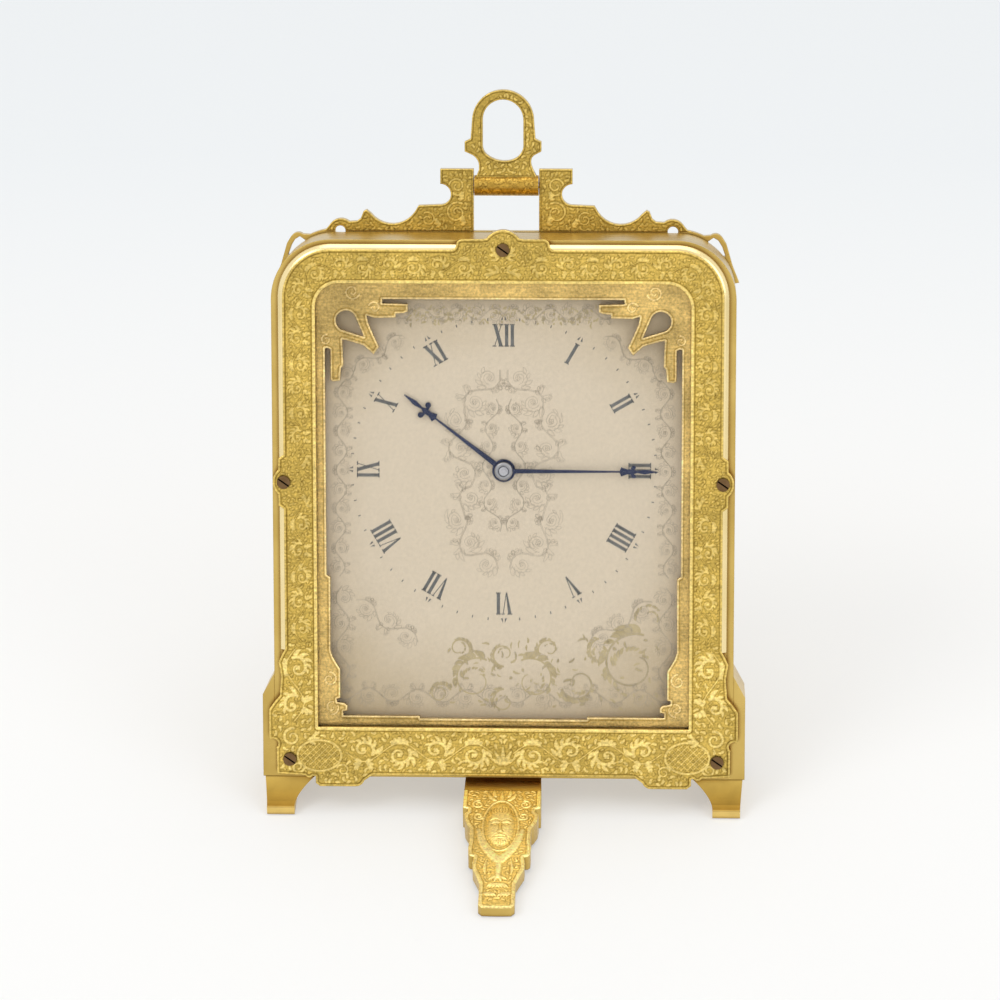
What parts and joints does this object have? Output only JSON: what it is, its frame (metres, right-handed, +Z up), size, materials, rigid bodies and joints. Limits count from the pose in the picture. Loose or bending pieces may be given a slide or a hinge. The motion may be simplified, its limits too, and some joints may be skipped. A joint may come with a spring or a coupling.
{
  "type": "strut clock",
  "caption": "Leaning desk clock in a flat gilt case with an arched silvered dial, a pierced crest with a ring handle, a folding rear strut and a swivelling front foot.",
  "frame": {"origin": "where the front foot's pivot axis meets the table, on the pivot screw's flat underside", "axes": "+X to the viewer's right, +Y away from the viewer, +Z up; the dial faces -Y and leans back 20 degrees"},
  "size_m": [0.101, 0.1133, 0.1353],
  "materials": {
    "gilt": "gilt and engraved",
    "pale_gilt": "gilt, matted ground",
    "movement_brass": "polished",
    "silvered": "silvered and engraved",
    "steel": "polished",
    "brown_steel": "browned",
    "blued_steel": "blued",
    "glass": "clear, bevelled"
  },
  "bodies": {
    "case": {"case_band": "gilt", "plinth": "gilt", "corner_foot_left": "gilt", "corner_foot_right": "gilt", "bezel": "gilt", "bezel_screws": "brown_steel", "glass": "glass", "dial_mask": "pale_gilt", "dial": "silvered", "dial_screws": "steel", "dial_posts": "movement_brass", "back_cover": "gilt", "back_cover_screws": "brown_steel", "crest": "gilt", "crest_screws": "brown_steel", "handle_pin": "steel", "strut_bracket": "gilt", "bracket_screws": "brown_steel", "strut_pin": "steel", "foot_pivot_screw": "brown_steel", "minute_wheel_stud": "steel", "front_plate": "movement_brass", "rear_plate": "movement_brass", "pillars": "movement_brass", "pillar_screws": "steel", "click_screw": "steel", "pallet_cock": "movement_brass", "balance_cock": "movement_brass", "cock_screw": "steel"},
    "handle": {"ring_handle": "gilt"},
    "strut": {"strut": "gilt"},
    "foot": {"front_foot": "gilt"},
    "minute": {"setting_arbor": "steel", "cannon_pinion": "steel", "minute_hand": "blued_steel"},
    "minute_wheel": {"minute_wheel": "movement_brass"},
    "hour": {"hour_wheel": "movement_brass", "hour_hand": "blued_steel"},
    "centre": {"centre_wheel": "movement_brass"},
    "third": {"third_wheel": "movement_brass"},
    "fourth": {"fourth_wheel": "movement_brass"},
    "escape": {"escape_wheel": "movement_brass"},
    "lever": {"pallet_lever": "steel"},
    "balance": {"balance": "movement_brass", "hairspring": "blued_steel"},
    "barrel": {"barrel": "movement_brass", "barrel_cover": "movement_brass", "mainspring": "steel"},
    "winding": {"barrel_arbor": "steel", "ratchet_wheel": "steel"},
    "click": {"click": "steel"}
  },
  "joints": [
    {"name": "handle_hinge", "type": "hinge", "parent": "case", "child": "handle", "pos_m": [0, 0.0559, 0.11609], "axis": [-1, 0, 0], "range_deg": [-105, 150]},
    {"name": "strut_hinge", "type": "hinge", "parent": "case", "child": "strut", "pos_m": [0, 0.04417, 0.07715], "axis": [1, 0, 0], "range_deg": [-38, 0]},
    {"name": "foot_pivot", "type": "hinge", "parent": "case", "child": "foot", "pos_m": [0, 0, 0], "axis": [0, 0, 1], "range_deg": [-90, 90]},
    {"name": "hand_setting", "type": "hinge", "parent": "case", "child": "minute", "pos_m": [0, 0.02839, 0.06449], "axis": [0, 0.9397, -0.342], "continuous": true},
    {"name": "minute_wheel_spin", "type": "hinge", "parent": "case", "child": "minute_wheel", "pos_m": [0, 0.02634, 0.05885], "axis": [0, 0.9397, -0.342], "continuous": true},
    {"name": "hour_spin", "type": "hinge", "parent": "case", "child": "hour", "pos_m": [0, 0.02839, 0.06449], "axis": [0, 0.9397, -0.342], "continuous": true},
    {"name": "fourth_spin", "type": "hinge", "parent": "case", "child": "fourth", "pos_m": [0.01214, 0.02973, 0.06816], "axis": [0, 0.9397, -0.342], "continuous": true},
    {"name": "third_spin", "type": "hinge", "parent": "case", "child": "third", "pos_m": [0.00542, 0.03085, 0.07124], "axis": [0, 0.9397, -0.342], "continuous": true},
    {"name": "centre_spin", "type": "hinge", "parent": "case", "child": "centre", "pos_m": [0, 0.02839, 0.06449], "axis": [0, 0.9397, -0.342], "continuous": true},
    {"name": "barrel_spin", "type": "hinge", "parent": "case", "child": "barrel", "pos_m": [-0.00867, 0.02446, 0.05368], "axis": [0, 0.9397, -0.342], "continuous": true},
    {"name": "escape_spin", "type": "hinge", "parent": "case", "child": "escape", "pos_m": [0.01286, 0.02737, 0.06168], "axis": [0, 0.9397, -0.342], "continuous": true},
    {"name": "lever_rock", "type": "hinge", "parent": "case", "child": "lever", "pos_m": [0.01136, 0.02574, 0.0572], "axis": [0, 0.9397, -0.342], "range_deg": [-4, 4]},
    {"name": "balance_swing", "type": "hinge", "parent": "case", "child": "balance", "pos_m": [0.0098, 0.02404, 0.05254], "axis": [0, 0.9397, -0.342], "range_deg": [-135, 135], "stiffness_Nm_per_rad": 0.00001},
    {"name": "winding", "type": "hinge", "parent": "case", "child": "winding", "pos_m": [-0.00867, 0.02446, 0.05368], "axis": [0, 0.9397, -0.342], "range_deg": [0, 1620]},
    {"name": "click_lift", "type": "hinge", "parent": "case", "child": "click", "pos_m": [-0.01473, 0.02565, 0.05697], "axis": [0, 0.9397, -0.342], "range_deg": [0, 12], "stiffness_Nm_per_rad": 0.0002, "springref_deg": -5.73}
  ],
  "couplings": [
    {"joint": "minute_wheel_spin", "follows": "hand_setting", "ratio": -0.33333},
    {"joint": "hour_spin", "follows": "hand_setting", "ratio": 0.083333},
    {"joint": "third_spin", "follows": "fourth_spin", "ratio": -0.13333},
    {"joint": "centre_spin", "follows": "fourth_spin", "ratio": 0.016667},
    {"joint": "barrel_spin", "follows": "fourth_spin", "ratio": -0.002381},
    {"joint": "escape_spin", "follows": "fourth_spin", "ratio": -10}
  ]
}
